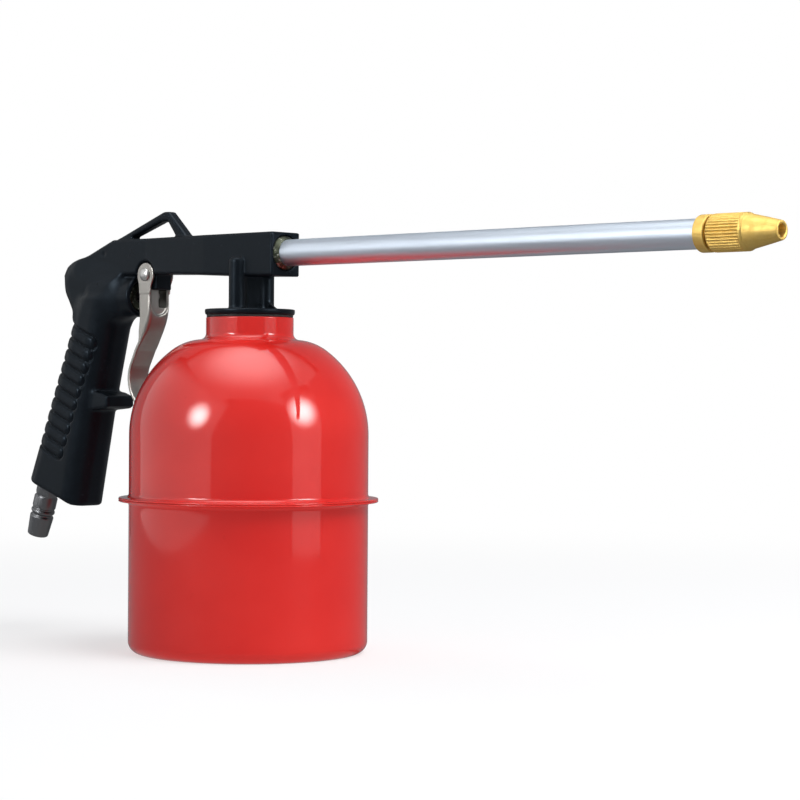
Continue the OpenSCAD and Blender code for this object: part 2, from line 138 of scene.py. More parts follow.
def arc(centre, radius, start, end, steps):
    """Points on an arc, with the angles in radians."""
    angles = np.linspace(start, end, steps + 1)
    return [(centre[0] + radius * math.cos(a), centre[1] + radius * math.sin(a)) for a in angles]


def rounded(outline, radius, steps=4, support=0.12):
    """A closed outline with each corner turned into an arc, of one radius or of its own. Straight sides get a
    point at the support distance from each end, to hold their shading."""
    outline = [np.array(corner, float) for corner in outline]
    count = len(outline)
    radii = [radius] * count if np.isscalar(radius) else list(radius)
    made = []
    for i, corner in enumerate(outline):
        back = outline[i - 1] - corner
        ahead = outline[(i + 1) % count] - corner
        back_len, ahead_len = np.linalg.norm(back), np.linalg.norm(ahead)
        back, ahead = back / back_len, ahead / ahead_len
        turn = math.acos(float(np.clip(back @ ahead, -1, 1)))
        if turn > math.radians(172):
            made.append([corner])
            continue
        reach = min(radii[i] / math.tan(turn / 2), 0.46 * back_len, 0.46 * ahead_len)
        fitted = reach * math.tan(turn / 2)
        middle = (back + ahead) / np.linalg.norm(back + ahead)
        centre = corner + middle * fitted / math.sin(turn / 2)
        first = corner + back * reach - centre
        sweep = math.pi - turn
        side = math.copysign(1, -(back[0] * ahead[1] - back[1] * ahead[0]))
        begin = math.atan2(first[1], first[0])
        angles = [begin + side * sweep * k / steps for k in range(steps + 1)]
        made.append([centre + fitted * np.array([math.cos(a), math.sin(a)]) for a in angles])
    closed = []
    for i, run in enumerate(made):
        closed += run
        here, there = run[-1], made[(i + 1) % count][0]
        gap = np.linalg.norm(there - here)
        if gap > 4 * support:
            step = (there - here) / gap * support
            closed += [here + step, there - step]
    return closed


def lathe(outline, segments, shape=None):
    """Points and faces of a closed outline of (along, radius) turned round +X. Where that isn't round,
    shape(along, radius, angle) gives the radius to use."""
    outline = np.array(outline, float)
    angles = np.linspace(0, 2 * math.pi, segments, endpoint=False)
    along = np.repeat(outline[:, :1], segments, axis=1)
    radius = np.repeat(outline[:, 1:2], segments, axis=1)
    if shape is not None:
        radius = shape(along, radius, angles[None, :])
    points = np.stack([along, radius * np.cos(angles), radius * np.sin(angles)], axis=2).reshape(-1, 3)
    rows, cols = np.meshgrid(np.arange(len(outline)), np.arange(segments), indexing="ij")
    next_row, next_col = (rows + 1) % len(outline), (cols + 1) % segments
    faces = np.stack([rows * segments + cols, next_row * segments + cols,
                      next_row * segments + next_col, rows * segments + next_col], axis=2).reshape(-1, 4)
    return points, faces


def facing_out(points, faces):
    """The faces turned round if the closed mesh they make is inside out."""
    a, b, c, d = (points[faces[:, k]] for k in range(4))
    volume = np.einsum("ij,ij->i", a, np.cross(b, c)).sum() + np.einsum("ij,ij->i", a, np.cross(c, d)).sum()
    return faces if volume > 0 else faces[:, ::-1]


def place(points, direction, origin):
    """Points that were made round +X, turned to run along direction from origin."""
    turn = Vector((1, 0, 0)).rotation_difference(Vector(direction)).to_matrix()
    return np.asarray(points) @ np.array(turn).T + np.asarray(origin, float)


def turned(name, outline, direction, origin, body, slot, nodes=(), segments=96, shape=None):
    """A turned piece with its outline given as (distance along its axis, radius)."""
    points, faces = lathe(outline, segments, shape)
    made = make_object(name, place(points, direction, origin), facing_out(points, faces), body, slot, nodes,
                       flatness=60)
    merge = made.modifiers.new("Poles", "WELD")
    merge.merge_threshold = 0.002 * MM
    made.modifiers.move(1, 0)
    return made


# ---------------------------------------------------------------- solid shapes as distance fields
def edge_distance(x, z, a, b):
    """Squared distance from the edge between a and b."""
    ex, ez = b[0] - a[0], b[1] - a[1]
    share = np.clip(((x - a[0]) * ex + (z - a[1]) * ez) / (ex * ex + ez * ez), 0, 1)
    return (x - a[0] - ex * share) ** 2 + (z - a[1] - ez * share) ** 2


def line_distance(x, z, a, b):
    """Distance to the left of the line from a to b, negative to its right."""
    ex, ez = b[0] - a[0], b[1] - a[1]
    return (ex * (z - a[1]) - ez * (x - a[0])) / math.hypot(ex, ez)


def polygon_distance(x, z, outline):
    """Signed distance from a closed outline, negative inside."""
    nearest = np.full(x.shape, 1e9, np.float32)
    sign = np.ones(x.shape, np.float32)
    for a, b in zip(outline, outline[-1:] + outline[:-1]):
        nearest = np.minimum(nearest, edge_distance(x, z, a, b))
        above, below, left = z >= a[1], z < b[1], line_distance(x, z, a, b) > 0
        flip = (above & below & left) | (~above & ~below & ~left)
        sign[flip] *= -1
    return sign * np.sqrt(nearest)


def open_line_distance(x, z, line):
    """Signed distance from an open line, positive on its left as it runs."""
    nearest = np.full(x.shape, 1e9)
    side = np.ones(x.shape)
    for a, b in zip(line[:-1], line[1:]):
        away = edge_distance(x, z, a, b)
        closer = away < nearest
        side = np.where(closer, np.sign(line_distance(x, z, a, b)), side)
        nearest = np.where(closer, away, nearest)
    return side * np.sqrt(nearest)


def both(a, b, radius=0.0):
    """What two fields share, with the edge where they meet rounded."""
    a, b = a + radius, b + radius
    return np.minimum(np.maximum(a, b), 0) + np.hypot(np.maximum(a, 0), np.maximum(b, 0)) - radius


def join(a, b, blend):
    """Two fields together, with a fillet where they meet."""
    share = np.clip(0.5 + 0.5 * (b - a) / blend, 0, 1)
    return b * (1 - share) + a * share - blend * share * (1 - share)


def cut(a, b, blend=0.3):
    """The first field with the second taken away, and a soft edge."""
    return -join(-a, b, blend)


class Grid:
    """A box of sample points, with x and z also as a plane for side views."""

    def __init__(self, low, high, step):
        self.step = step
        self.low = np.array(low, float)
        sizes = [int(math.ceil((h - l) / step)) + 1 for l, h in zip(low, high)]
        x, y, z = (np.asarray(l + step * np.arange(n), np.float32) for l, n in zip(low, sizes))
        self.x, self.y, self.z = x[:, None, None], y[None, :, None], z[None, None, :]
        self.side_x, self.side_z = np.meshgrid(x, z, indexing="ij")

    def side(self, outline):
        return polygon_distance(self.side_x, self.side_z, outline)

    def disc(self, centre, radius):
        return np.hypot(self.side_x - centre[0], self.side_z - centre[1]) - radius

    def plate(self, side, half, radius=0.0, centre=0.0):
        """A side view given thickness, with rounded edges."""
        return both(side[:, None, :], np.abs(self.y - centre) - half, radius)

    def rod(self, axis, centre, radius, low, high, edge=0.0):
        """A cylinder along an axis, with its two other coordinates, its ends and its rounded edges."""
        a, b, along = {"x": (self.y, self.z, self.x), "y": (self.x, self.z, self.y),
                       "z": (self.x, self.y, self.z)}[axis]
        round_way = np.hypot(a - centre[0], b - centre[1]) - radius
        end_way = np.abs(along - (low + high) / 2) - (high - low) / 2
        return both(round_way, end_way, edge)

    def leaning_rod(self, centre, lean, radius, low, high):
        """A cylinder in the middle plane whose axis leans forward as it rises."""
        dx, dz = self.x - centre[0], self.z - centre[1]
        along = dx * math.sin(lean) + dz * math.cos(lean)
        across = dx * math.cos(lean) - dz * math.sin(lean)
        end_way = np.abs(along - (low + high) / 2) - (high - low) / 2
        return np.maximum(np.hypot(across, self.y) - radius, end_way)


def skin(field, grid):
    """The surface where a field is zero: one point in each cell it crosses, moved onto the surface."""
    inside = field < 0
    nx, ny, nz = field.shape
    offsets = list(itertools.product((0, 1), repeat=3))
    total = np.zeros((nx - 1, ny - 1, nz - 1), np.uint8)
    for i, j, k in offsets:
        total += inside[i:nx - 1 + i, j:ny - 1 + j, k:nz - 1 + k]
    crossed = (total > 0) & (total < 8)
    cells = np.argwhere(crossed)
    number = np.full(crossed.shape, -1, np.int64)
    number[crossed] = np.arange(len(cells))
    summed, hits = np.zeros((len(cells), 3)), np.zeros(len(cells))
    for a in offsets:
        for axis in range(3):
            if a[axis]:
                continue
            b = tuple(v + (n == axis) for n, v in enumerate(a))
            value_a = field[tuple((cells + a).T)]
            value_b = field[tuple((cells + b).T)]
            meets = (value_a < 0) != (value_b < 0)
            share = value_a[meets] / (value_a[meets] - value_b[meets])
            where = np.repeat(np.array([a], float), len(share), axis=0)
            where[:, axis] += share
            summed[meets] += where
            hits[meets] += 1
    spots = cells + summed / hits[:, None]
    faces = []
    for axis in range(3):
        one, two = [n for n in range(3) if n != axis]
        low = [slice(1, -1)] * 3
        low[axis] = slice(0, -1)
        high = list(low)
        high[axis] = slice(1, None)
        start, end = inside[tuple(low)], inside[tuple(high)]
        for entering in (False, True):
            nodes = np.argwhere((start != end) & (start == entering))
            nodes[:, one] += 1
            nodes[:, two] += 1
            ring = []
            for d_one, d_two in ((0, 0), (-1, 0), (-1, -1), (0, -1)):
                cell = nodes.copy()
                cell[:, one] += d_one
                cell[:, two] += d_two
                ring.append(number[tuple(cell.T)])
            quads = np.stack(ring, axis=1)
            faces.append(quads if entering == (axis != 1) else quads[:, ::-1])
    faces = np.concatenate(faces)
    return grid.low + settle(spots, field) * grid.step, faces


def settle(spots, field, rounds=3):
    """Spots in grid units, moved along the slope until the field there is zero."""
    for _ in range(rounds):
        value = sample(spots, field)
        slope = np.zeros_like(spots)
        for axis in range(3):
            nudge = np.zeros(3)
            nudge[axis] = 0.5
            slope[:, axis] = sample(spots + nudge, field) - sample(spots - nudge, field)
        size = np.maximum((slope ** 2).sum(axis=1), 0.02)
        move = -slope * (value / size)[:, None]
        spots = spots + np.clip(move, -0.35, 0.35)
    return spots


def sample(spots, field):
    """The field between its grid points."""
    top = np.array(field.shape) - 1.001
    spots = np.clip(spots, 0, top)
    base = spots.astype(int)
    part = spots - base
    value = np.zeros(len(spots))
    for corner in itertools.product((0, 1), repeat=3):
        weight = np.prod(np.where(corner, part, 1 - part), axis=1)
        value += weight * field[tuple((base + corner).T)]
    return value


# ---------------------------------------------------------------- finishes
class Shader:
    """A material and its node tree."""

    def __init__(self, name):
        self.material = bpy.data.materials.new(name)
        self.material.use_nodes = True
        self.tree = self.material.node_tree

    def node(self, kind):
        return self.tree.nodes.new("ShaderNode" + kind)

    def link(self, start, socket):
        self.tree.links.new(start, socket)

    def between(self, value, low, high, start=0.0, end=1.0, blend="LINEAR"):
        """The value's stretch from low to high spread over start to end, and clamped."""
        made = self.node("MapRange")
        made.interpolation_type = blend
        for socket, number in zip(("From Min", "From Max", "To Min", "To Max"), (low, high, start, end)):
            made.inputs[socket].default_value = number
        self.link(value, made.inputs["Value"])
        return made.outputs["Result"]


class Finish(Shader):
    """A surface whose colour, roughness and relief vary by noise that is fixed to the piece."""

    def __init__(self, name, colour, constants):
        super().__init__(name)
        self.shader = self.tree.nodes["Principled BSDF"]
        self.space = self.node("TexCoord").outputs["Object"]
        self.relief = None
        base = self.node("RGB")
        base.outputs[0].default_value = (*colour, 1)
        self.colour = base.outputs[0]
        for socket, value in constants.items():
            self.shader.inputs[socket].default_value = value

    def noise(self, size, stretch=(1, 1, 1), detail=3.0):
        """Noise whose features are about size millimetres across, times stretch along each axis."""
        mapping = self.node("Mapping")
        mapping.inputs["Scale"].default_value = [1 / s for s in stretch]
        self.link(self.space, mapping.inputs["Vector"])
        made = self.node("TexNoise")
        made.inputs["Scale"].default_value = 1 / (size * MM)
        made.inputs["Detail"].default_value = detail
        self.link(mapping.outputs["Vector"], made.inputs["Vector"])
        return made.outputs["Fac"]

    def tint(self, share, colour):
        """Mixes a colour in where share is high."""
        made = self.node("Mix")
        made.data_type = "RGBA"
        self.link(share, made.inputs["Factor"])
        self.link(self.colour, made.inputs["A"])
        made.inputs["B"].default_value = (*colour, 1)
        self.colour = made.outputs["Result"]

    def vary_roughness(self, value, low, high):
        self.link(self.between(value, 0.3, 0.7, low, high), self.shader.inputs["Roughness"])

    def bump(self, height, depth):
        """Adds relief of about depth millimetres."""
        made = self.node("Bump")
        made.inputs["Distance"].default_value = depth * MM
        self.link(height, made.inputs["Height"])
        if self.relief is not None:
            self.link(self.relief, made.inputs["Normal"])
        self.relief = made.outputs["Normal"]

    def done(self):
        self.link(self.colour, self.shader.inputs["Base Color"])
        self.link(self.relief, self.shader.inputs["Normal"])
        return self.material


def red_enamel():
    """Thick red gloss that has run a little, with faint darker marks."""
    paint = Finish("Red gloss enamel", (0.66, 0.014, 0.010),
                   {"Coat Weight": 1.0, "Coat Roughness": 0.05, "Specular IOR Level": 0.12})
    paint.tint(paint.between(paint.noise(38), 0.40, 0.72), (0.71, 0.020, 0.014))
    paint.tint(paint.between(paint.noise(3.0, detail=5), 0.66, 0.80, 0, 0.35), (0.52, 0.010, 0.008))
    paint.vary_roughness(paint.noise(14), 0.30, 0.42)
    paint.bump(paint.noise(21, detail=1), 0.16)
    paint.bump(paint.noise(0.9, detail=2), 0.004)
    return paint.done()


def black_coat():
    """Satin blue-black coating with dust in it, over the slight unevenness of a casting."""
    coat = Finish("Black coating on the casting", (0.0036, 0.0050, 0.0070),
                  {"Specular IOR Level": 0.17, "Specular Tint": (0.62, 0.81, 1.0, 1.0)})
    coat.tint(coat.between(coat.noise(24), 0.45, 0.75), (0.0046, 0.0064, 0.0090))
    coat.tint(coat.between(coat.noise(1.4, detail=4), 0.64, 0.80, 0, 0.5), (0.020, 0.024, 0.030))
    coat.vary_roughness(coat.noise(9, detail=5), 0.27, 0.42)
    coat.bump(coat.noise(5.5, detail=2), 0.05)
    coat.bump(coat.noise(0.45, detail=3), 0.012)
    return coat.done()


METAL = {"Metallic": 1.0}


def plated(name, colour, roughness, stain, grain=0.5, stretch=(1, 1, 1)):
    """A plated or bare metal with faint stains and a fine grain that can be drawn out along one axis."""
    metal = Finish(name, colour, METAL)
    metal.tint(metal.between(metal.noise(9, detail=3), 0.45, 0.80, 0, 0.45), stain)
    metal.vary_roughness(metal.noise(grain * 4, stretch, detail=3), roughness * 0.88, roughness * 1.15)
    metal.bump(metal.noise(grain, stretch, detail=2), 0.0022)
    return metal.done()


def brass(name, colour, stain, share, roughness):
    """Brass or copper with turning marks round the barrel's axis, and a share of stains."""
    metal = Finish(name, colour, METAL)
    metal.tint(metal.between(metal.noise(5, detail=4), 0.45, 0.80, 0, share), stain)
    metal.vary_roughness(metal.noise(2.2, detail=3), roughness * 0.85, roughness * 1.3)
    metal.bump(metal.noise(0.3, (1, 40, 40), detail=1), 0.0012)
    return metal


def oily_brass():
    """Brass under dried oil and thread sealant: dark green, with pale flecks and a lumpy skin."""
    metal = brass("Brass dulled by oil", (0.060, 0.068, 0.048), (0.10, 0.11, 0.08), 0.8, 0.40)
    metal.tint(metal.between(metal.noise(1.3, detail=4), 0.56, 0.70, 0, 0.9), (0.42, 0.44, 0.38))
    metal.bump(metal.noise(1.6, detail=3), 0.35)
    return metal.done()


def soft(name, colour, dusty, roughness):
    """Rubber or plastic: matt, with a little dust."""
    matt = Finish(name, colour, {})
    matt.tint(matt.between(matt.noise(3, detail=5), 0.50, 0.85, 0, 0.6), dusty)
    matt.vary_roughness(matt.noise(2, detail=4), roughness * 0.85, min(roughness * 1.15, 1))
    matt.bump(matt.noise(0.5, detail=3), 0.012)
    return matt.done()


def drawn_tube():
    """Drawn aluminium with long die lines and a few dull patches."""
    metal = Finish("Drawn aluminium", (0.64, 0.71, 0.80), METAL)
    metal.tint(metal.between(metal.noise(7, (9, 1, 1), detail=4), 0.50, 0.80, 0, 0.5), (0.54, 0.61, 0.70))
    metal.vary_roughness(metal.noise(1.1, (60, 1, 1), detail=4), 0.36, 0.48)
    metal.bump(metal.noise(0.35, (140, 1, 1), detail=2), 0.003)
    return metal.done()


MATERIALS = {
    "red_paint": red_enamel(),
    "black_coat": black_coat(),
    "zinc_plate": plated("Zinc plate", (0.56, 0.56, 0.55), 0.30, (0.42, 0.41, 0.39)),
    "nickel_steel": plated("Dull nickel on turned steel", (0.19, 0.195, 0.205), 0.33, (0.15, 0.145, 0.14),
                           grain=0.3),
    "spring_steel": plated("Spring wire", (0.40, 0.40, 0.41), 0.30, (0.26, 0.26, 0.26)),
    "satin_steel": plated("Satin nickel on pressed steel", (0.40, 0.385, 0.36), 0.34, (0.30, 0.285, 0.26),
                          grain=0.4, stretch=(1, 1, 12)),
    "alloy_tube": drawn_tube(),
    "brass": brass("Turned brass", (0.75, 0.53, 0.16), (0.58, 0.38, 0.10), 0.35, 0.54).done(),
    "copper": brass("Soft copper washer", (0.62, 0.30, 0.17), (0.30, 0.14, 0.08), 0.7, 0.36).done(),
    "rubber": soft("Black rubber", (0.012, 0.012, 0.012), (0.045, 0.043, 0.040), 0.72),
    "nylon": soft("Natural nylon", (0.78, 0.77, 0.70), (0.62, 0.60, 0.52), 0.42),
}
OILY_BRASS = oily_brass()


# ---------------------------------------------------------------- the can
def can_shells():
    """Two deep-drawn shells whose flanges meet at the seam, over a base that is pushed in a little."""
    blend, push = 1.8, 0.5
    crown = (CAN_R - SHOULDER_R + (SHOULDER_R - CROWN_R) * math.cos(CROWN_START),
             SHOULDER_Z + (SHOULDER_R - CROWN_R) * math.sin(CROWN_START))

    def dome(inset):
        """Outline from the straight side up to the neck's rim, moved inward."""
        neck = NECK_R - inset
        crown_end = math.acos((neck + NECK_FILLET - crown[0]) / (CROWN_R - inset + NECK_FILLET))
        foot = (crown[0] + (CROWN_R - inset + NECK_FILLET) * math.cos(crown_end),
                crown[1] + (CROWN_R - inset + NECK_FILLET) * math.sin(crown_end))
        side = arc((CAN_R - SHOULDER_R, SHOULDER_Z), SHOULDER_R - inset, 0, CROWN_START, 40)
        top = arc(crown, CROWN_R - inset, CROWN_START, crown_end, 20)[1:]
        fillet = arc(foot, NECK_FILLET, crown_end + math.pi, math.pi, 12)[1:]
        return side + top + fillet

    outer = [(SEAM_R - 0.15, SEAM_Z), (SEAM_R, SEAM_Z + SHEET / 2), (SEAM_R - 0.2, SEAM_Z + SHEET)]
    outer += arc((CAN_R + blend, SEAM_Z + SHEET + blend), blend, 1.5 * math.pi, math.pi, 8)
    outer += [(CAN_R, z) for z in np.linspace(SEAM_Z + 5, SHOULDER_Z - 1, 8)]
    outer += dome(0)
    outer += [(NECK_R, NECK_TOP - 2), (NECK_R, NECK_TOP - 0.5)]
    outer += arc((NECK_R - SHEET / 2, NECK_TOP - SHEET / 2), SHEET / 2, 0.1, math.pi - 0.1, 6)
    inner = dome(SHEET)[::-1]
    inner += [(CAN_R - SHEET, SEAM_Z + 6)]
    inner += arc((CAN_R + blend, SEAM_Z + blend + SHEET), blend + SHEET, math.pi, 1.5 * math.pi, 8)
    upper = [(z, r) for r, z in outer + inner]
    turned("Can_upper_half", upper, UP, BASE, "canister", "red_paint", ["can_upper_shell"], 240)

    corner = (CAN_R - BASE_CORNER_R, BASE_CORNER_R)
    flange = [(SEAM_R - 0.15, SEAM_Z), (SEAM_R, SEAM_Z - SHEET / 2), (SEAM_R - 0.2, SEAM_Z - SHEET)]
    outer = arc((CAN_R + blend, SEAM_Z - SHEET - blend), blend, 0.5 * math.pi, math.pi, 8)
    outer += [(CAN_R, z) for z in np.linspace(SEAM_Z - 5, BASE_CORNER_R + 1, 12)]
    outer += arc(corner, BASE_CORNER_R, 0, -0.5 * math.pi, 12)
    outer += [(43, 0), (40.5, 0.05), (39.5, 0.35), (38, push), (20, push), (AXIS_GAP, push)]
    inner = [(AXIS_GAP, push + SHEET), (20, push + SHEET), (38, push + SHEET)]
    inner += [(40, 0.35 + SHEET), (42, SHEET)]
    inner += arc(corner, BASE_CORNER_R - SHEET, -0.5 * math.pi, 0, 10)
    inner += [(CAN_R - SHEET, z) for z in (20, 40)]
    inner += arc((CAN_R + blend, SEAM_Z - SHEET - blend), blend + SHEET, math.pi, 0.5 * math.pi, 8)
    lower = [(z, r) for r, z in flange + outer + inner]
    turned("Can_lower_half", lower, UP, BASE, "canister", "red_paint", ["can_lower_shell"], 240)


def threaded(name, low, high, radius, depth, other_r, body, slot, nodes=()):
    """An upright ring with a thread at its radius, on the outside if other_r is its bore."""
    pitch, rings_a_turn, run_out = 2.0, 14, 1.2
    heights = np.linspace(low, high, int((high - low) / pitch * rings_a_turn))
    outline = [(z, radius) for z in heights] + [(high, other_r), (low, other_r)]
    way = math.copysign(1, other_r - radius)

    def shape(along, given, angle):
        turn = along / pitch - angle / (2 * math.pi)
        wave = np.clip(1.3 * np.cos(2 * math.pi * turn), -1, 1)
        ends = np.clip(np.minimum(along - low, high - along) / run_out, 0, 1)
        groove = depth * (0.5 - 0.5 * wave) * ends + depth * (1 - ends)
        return np.where(np.abs(given - radius) < 1e-6, given + way * groove, given)

    points, faces = lathe(outline, 120, shape)
    make_object(name, place(points, UP, BASE), facing_out(points, faces), body, slot, nodes, flatness=40)


def neck_parts():
    """The ring in the neck that the gun screws into, and the gasket on the rim."""
    threaded("Neck_thread", RING_LOW[2], RING_HIGH[2], 15.5, 0.65, NECK_R - SHEET - 0.02, "canister",
             "zinc_plate", ["neck_thread_ring"])
    low, high, inside, outside = GASKET_LOW[2], GASKET_HIGH[2], 15.6, 18.1
    outline = rounded([(low, inside), (low, outside), (high, outside), (high, inside)], 0.25)
    turned("Lid_gasket", outline, UP, BASE, "lid_gasket", "rubber", ["neck_gasket"], 160)


# ---------------------------------------------------------------- the gun's casting
# Seen from the right side, as (x, z): the grip's back from waist to heel, and its front's narrowest place.
WAIST = np.array([-108.4, 135.4])
HEEL = np.array([-135.9, 69.4])
THROAT = (-82.4, 133.4)
GRIP_HALF = 11.0
RIB_PITCH = 5.85
RIB_COUNT = 10
FIRST_RIB = -1.8
RIB_LENGTH = 21.2
BEAM_FRONT = GUN_HIGH[0]
BEAM_TOP = 174.4
COLUMN_X, COLUMN_Y, COLUMN_R, COLUMN_TOP = 0.9, 8.3, 3.55, 164.7
PLUG_DEPTH = 8
VALVE_FACE = -67.5
LUG_HALF = 4.4


def rib_relief(x, z):
    """How far the surface lies below a rib's crest. Out from a rib's middle line it is flat, then rounds down
    to the channel, which ends in a soft lip."""
    depth, flat, crest, floor, lip = 1.15, 0.9, 2.65, 3.1, 3.7
    down = (HEEL - WAIST) / np.linalg.norm(HEEL - WAIST)
    along = np.array([-down[1], down[0]])
    nearest = np.full(x.shape, 99.0)
    for i in range(RIB_COUNT):
        rear = WAIST + down * (FIRST_RIB + RIB_PITCH * i)
        dx, dz = x - rear[0], z - rear[1]
        reach = np.clip(dx * along[0] + dz * along[1], -20, RIB_LENGTH - crest)
        nearest = np.minimum(nearest, np.hypot(dx - along[0] * reach, dz - along[1] * reach))
    bar = depth * (1 - np.sqrt(1 - np.clip((nearest - flat) / (crest - flat), 0, 1) ** 2))
    rise = np.clip((lip - nearest) / (lip - floor), 0, 1)
    return np.where(nearest < crest, bar, depth * rise * rise * (3 - 2 * rise))


def grip(grid):
    """The handle: a bar with a round back and front, a foot whose toe bulges, and ribs down its back."""
    x, z = grid.side_x, grid.side_z
    rear = -line_distance(x, z, WAIST, HEEL)
    front = grid.side([(-200, 190), (-70, 190), (-78, 150), THROAT, (-91.2, 100), (-113.2, 0), (-200, 0)])
    toe_round, top_z = 3.0, 150
    foot = grid.side([(-150, 77.1), (-108, 62.7), (-104, 60.6), (-102.2, 60.3), (-84, 136), (-60, 170),
                      (-150, 170)]) - toe_round
    width = np.abs(grid.y) - GRIP_HALF
    bar = np.maximum(both(rear[:, None, :], width, 9.6), both(front[:, None, :], width, 9.6))
    bar = both(bar, foot[:, None, :], 1.2)
    bar = both(bar, grid.z - top_z, 1.0)
    return bar + rib_relief(x, z)[:, None, :]


def hump(grid):
    """The rounded rear of the body, with a faint ring on each side."""
    rear_x, half = -114.3, GRIP_HALF - 0.1
    block = grid.side([(-107, 140), (-105, 163.8), (-102.7, 164.6), (-77, 157.6), (-77, 142.4), (-84, 138),
                       (-100, 138)])
    side = join(grid.disc((-103.7, 153.4), 10.5), block, 3.0)
    side = cut(side, grid.disc((-116, 141.6), 9.6), 3.0)
    rear = both(rear_x - grid.x, np.abs(grid.y) - half, 10.0)
    body = both(grid.plate(side, half, 5.5), rear, 5.0)
    ring = 1 - np.abs(grid.disc((-87.5, 147.5), 9.4)) / 0.8
    return body + (0.14 * np.clip(ring, 0, 1))[:, None, :]


def beam(grid):
    """A bar with a level top, a bottom that rises to the rear, and sides that draw in towards the trigger."""
    side = grid.side([(BEAM_FRONT, 156.7), (BEAM_FRONT, BEAM_TOP + 0.5), (-80.5, BEAM_TOP + 0.6),
                      (-109.8, 163.9), (-112, 160), (-90, 152), (-78, 156), (-74, 159.9), (-38, 159),
                      (-5, 157.4)])
    taper_start, front_half, rear_half = -20, 8.2, 6.2
    share = np.clip((taper_start - grid.x) / (taper_start - PIVOT[0]), 0, 1)
    half = front_half + (rear_half - front_half) * share
    dent = 0.3 * np.clip(-grid.disc((-86, 169), 1.4), 0, 1)
    return both(side[:, None, :], np.abs(grid.y) - half, 0.9) + dent[:, None, :]


def loop(grid):
    """The hanging loop: a rear leg that slopes up along the beam, and a stout front one."""
    outer = grid.side([(-83.2, 173), (-51.4, 184.5), (-49.2, 184.5), (-37.6, 173.4)]) - 1.85
    inner = grid.side([(-70.9, 175.6), (-53.0, 181.4), (-49.4, 181.4), (-44.9, 175.6)]) - 0.7
    return grid.plate(cut(outer, inner, 0.6), 2.5, 1.1)


def frame_below(grid):
    """Lid flange, the two columns that carry the beam, and the web between them."""
    middle, half = (LID_Z + LID_TOP) / 2, (LID_TOP - LID_Z) / 2
    drawn_in = 0.045 * (LID_TOP - grid.z) ** 2
    made = both(np.hypot(grid.x, grid.y) - LID_R + drawn_in, np.abs(grid.z - middle) - half, 0.5)
    for way in (-1, 1):
        column = grid.rod("z", (COLUMN_X, way * COLUMN_Y), COLUMN_R, LID_TOP - 2, COLUMN_TOP, 1.5)
        made = join(made, column, 1.0)
    web_z, web_half, web_thick = 150, 8, 4.0
    web = np.maximum(np.abs(grid.y) - COLUMN_Y, np.abs(grid.z - web_z) - web_half)
    made = join(made, np.maximum(np.abs(grid.x - COLUMN_X) - web_thick / 2, web), 1.0)
    fin = grid.side([(COLUMN_X, LID_TOP - 1), (9.4, LID_TOP - 1), (9.4, LID_TOP - 0.2), (3.4, LID_TOP + 3.4)])
    return join(made, grid.plate(fin, 0.8, 0.3, COLUMN_Y - 1), 0.8)


def bores(grid):
    """Everything that is cut out of the casting, each with the softness of its edge."""
    # The valve's gland and its chamber
    yield grid.rod("x", (0, VALVE_Z), 6.7, VALVE_FACE - 4.5, VALVE_FACE + 3), 0.5
    yield grid.rod("x", (0, VALVE_Z), 5.0, -100, VALVE_FACE - 4), 0.1
    # The barrel's socket, its gland's recess, and the passages behind them
    recess_r = GLAND_HIGH[2] - BARREL_Z + 0.1
    yield grid.rod("x", (0, BARREL_Z), TUBE_R, 6, 16), 0.1
    yield grid.rod("x", (0, BARREL_Z), recess_r, GLAND_LOW[0] - 1.3, BEAM_FRONT + 3), 0.35
    yield grid.rod("x", (0, BARREL_Z), 4.4, -2, 7), 0.1
    yield grid.rod("x", (0, BARREL_Z), 2.5, -84, -1), 0.1
    # The dip tube's socket, the passage above it, and the vent
    yield grid.rod("z", (COLUMN_X, COLUMN_Y), 3.0, LID_Z - 10, LID_Z - 3), 0.1
    yield grid.rod("z", (COLUMN_X, COLUMN_Y), 1.6, LID_Z - 4, COLUMN_TOP - 2.2), 0.1
    yield grid.rod("z", (-9.5, 0), 0.8, LID_Z - 10, LID_TOP + 2), 0.2
    # The air inlet and the seat of its seal
    yield grid.leaning_rod(INLET, LEAN, 4.6, -8, 10), 0.1
    yield grid.leaning_rod(INLET, LEAN, 5.6, -6, 0), 0.2
    # The trigger's pin, and the room for its ears
    yield grid.rod("y", PIVOT, PIN_R, -20, 20), 0.1
    for low, high in ((-20, -LUG_HALF), (LUG_HALF, 20)):
        yield grid.rod("y", PIVOT, EAR_R + 0.8, low, high), 0.35


def casting():
    """The whole body as one field, then as a mesh."""
    margin, step, quick_step = 1.5, 0.52, 1.0
    grid = Grid(GUN_LOW - margin, GUN_HIGH + margin, step)
    body = join(beam(grid), hump(grid), 6.0)
    body = join(body, grip(grid), 3.0)
    finger_rest = grid.side([(-93, 109.2), (-86, 108), (-81.4, 106.4), (-81.2, 102), (-83, 101), (-94, 100)])
    body = join(body, grid.plate(finger_rest, 8.0, 1.3), 1.6)
    body = join(body, grid.rod("x", (0, VALVE_Z), 8.8, -92, VALVE_FACE, 1.0), 4.0)
    body = join(body, loop(grid), 1.4)
    lug = grid.side([(-65, 152.7), (-65, 161), (-53.4, 161), (-53.4, 152.7)])
    body = join(body, grid.plate(lug, LUG_HALF, 0.5), 0.6)
    body = join(body, frame_below(grid), 0.8)
    body = np.minimum(body, grid.rod("z", (0, 0), 14.7, LID_Z - PLUG_DEPTH, LID_Z + 1, 0.4))
    for bore, edge in bores(grid):
        body = cut(body, bore, edge)
    points, faces = skin(body, grid)
    make_object("Gun_casting", points, faces, "gun", "black_coat", ["gun_body"])
    threaded("Lid_plug_thread", LID_Z - PLUG_DEPTH, LID_Z + 0.2, 15.42, 0.62, 14.2, "gun", "black_coat")


